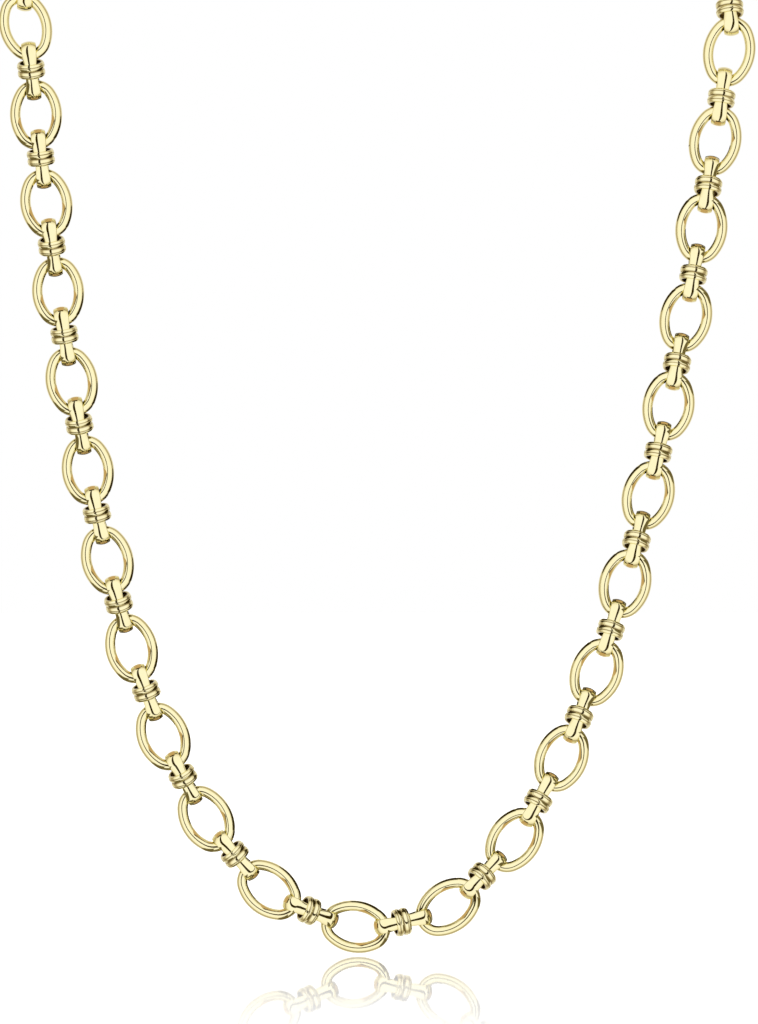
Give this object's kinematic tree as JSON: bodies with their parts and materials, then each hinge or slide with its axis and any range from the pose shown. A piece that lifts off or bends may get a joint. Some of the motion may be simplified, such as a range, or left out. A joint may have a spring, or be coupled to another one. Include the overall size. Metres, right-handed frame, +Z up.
{
  "type": "necklace",
  "caption": "Necklace of oval wire links joined by long connectors with ring collars: a closed loop in its hanging form, open at the neck.",
  "frame": {"origin": "middle of the nape stretch, where the loop rests on the back of a neck", "axes": "+Z up, -Y the front of the hanging loop, +X to the right as seen from the front"},
  "size_m": [0.1056, 0.0171, 0.1644],
  "materials": {
    "gold": "polished gold"
  },
  "bodies": {
    "root": {"oval_link_01": "gold", "oval_link_02": "gold", "oval_link_03": "gold", "oval_link_04": "gold", "oval_link_05": "gold", "oval_link_06": "gold", "oval_link_07": "gold", "oval_link_08": "gold", "oval_link_09": "gold", "oval_link_10": "gold", "oval_link_11": "gold", "oval_link_12": "gold", "oval_link_13": "gold", "oval_link_14": "gold", "oval_link_15": "gold", "oval_link_16": "gold", "oval_link_17": "gold", "oval_link_18": "gold", "oval_link_19": "gold", "oval_link_20": "gold", "oval_link_21": "gold", "connector_01": "gold", "connector_02": "gold", "connector_03": "gold", "connector_04": "gold", "connector_05": "gold", "connector_06": "gold", "connector_07": "gold", "connector_08": "gold", "connector_09": "gold", "connector_10": "gold", "connector_11": "gold", "connector_12": "gold", "connector_13": "gold", "connector_14": "gold", "connector_15": "gold", "connector_16": "gold", "connector_17": "gold", "connector_18": "gold", "connector_19": "gold", "connector_20": "gold", "back_chain_left": "gold", "back_chain_right": "gold", "clasp": "gold"}
  },
  "joints": []
}
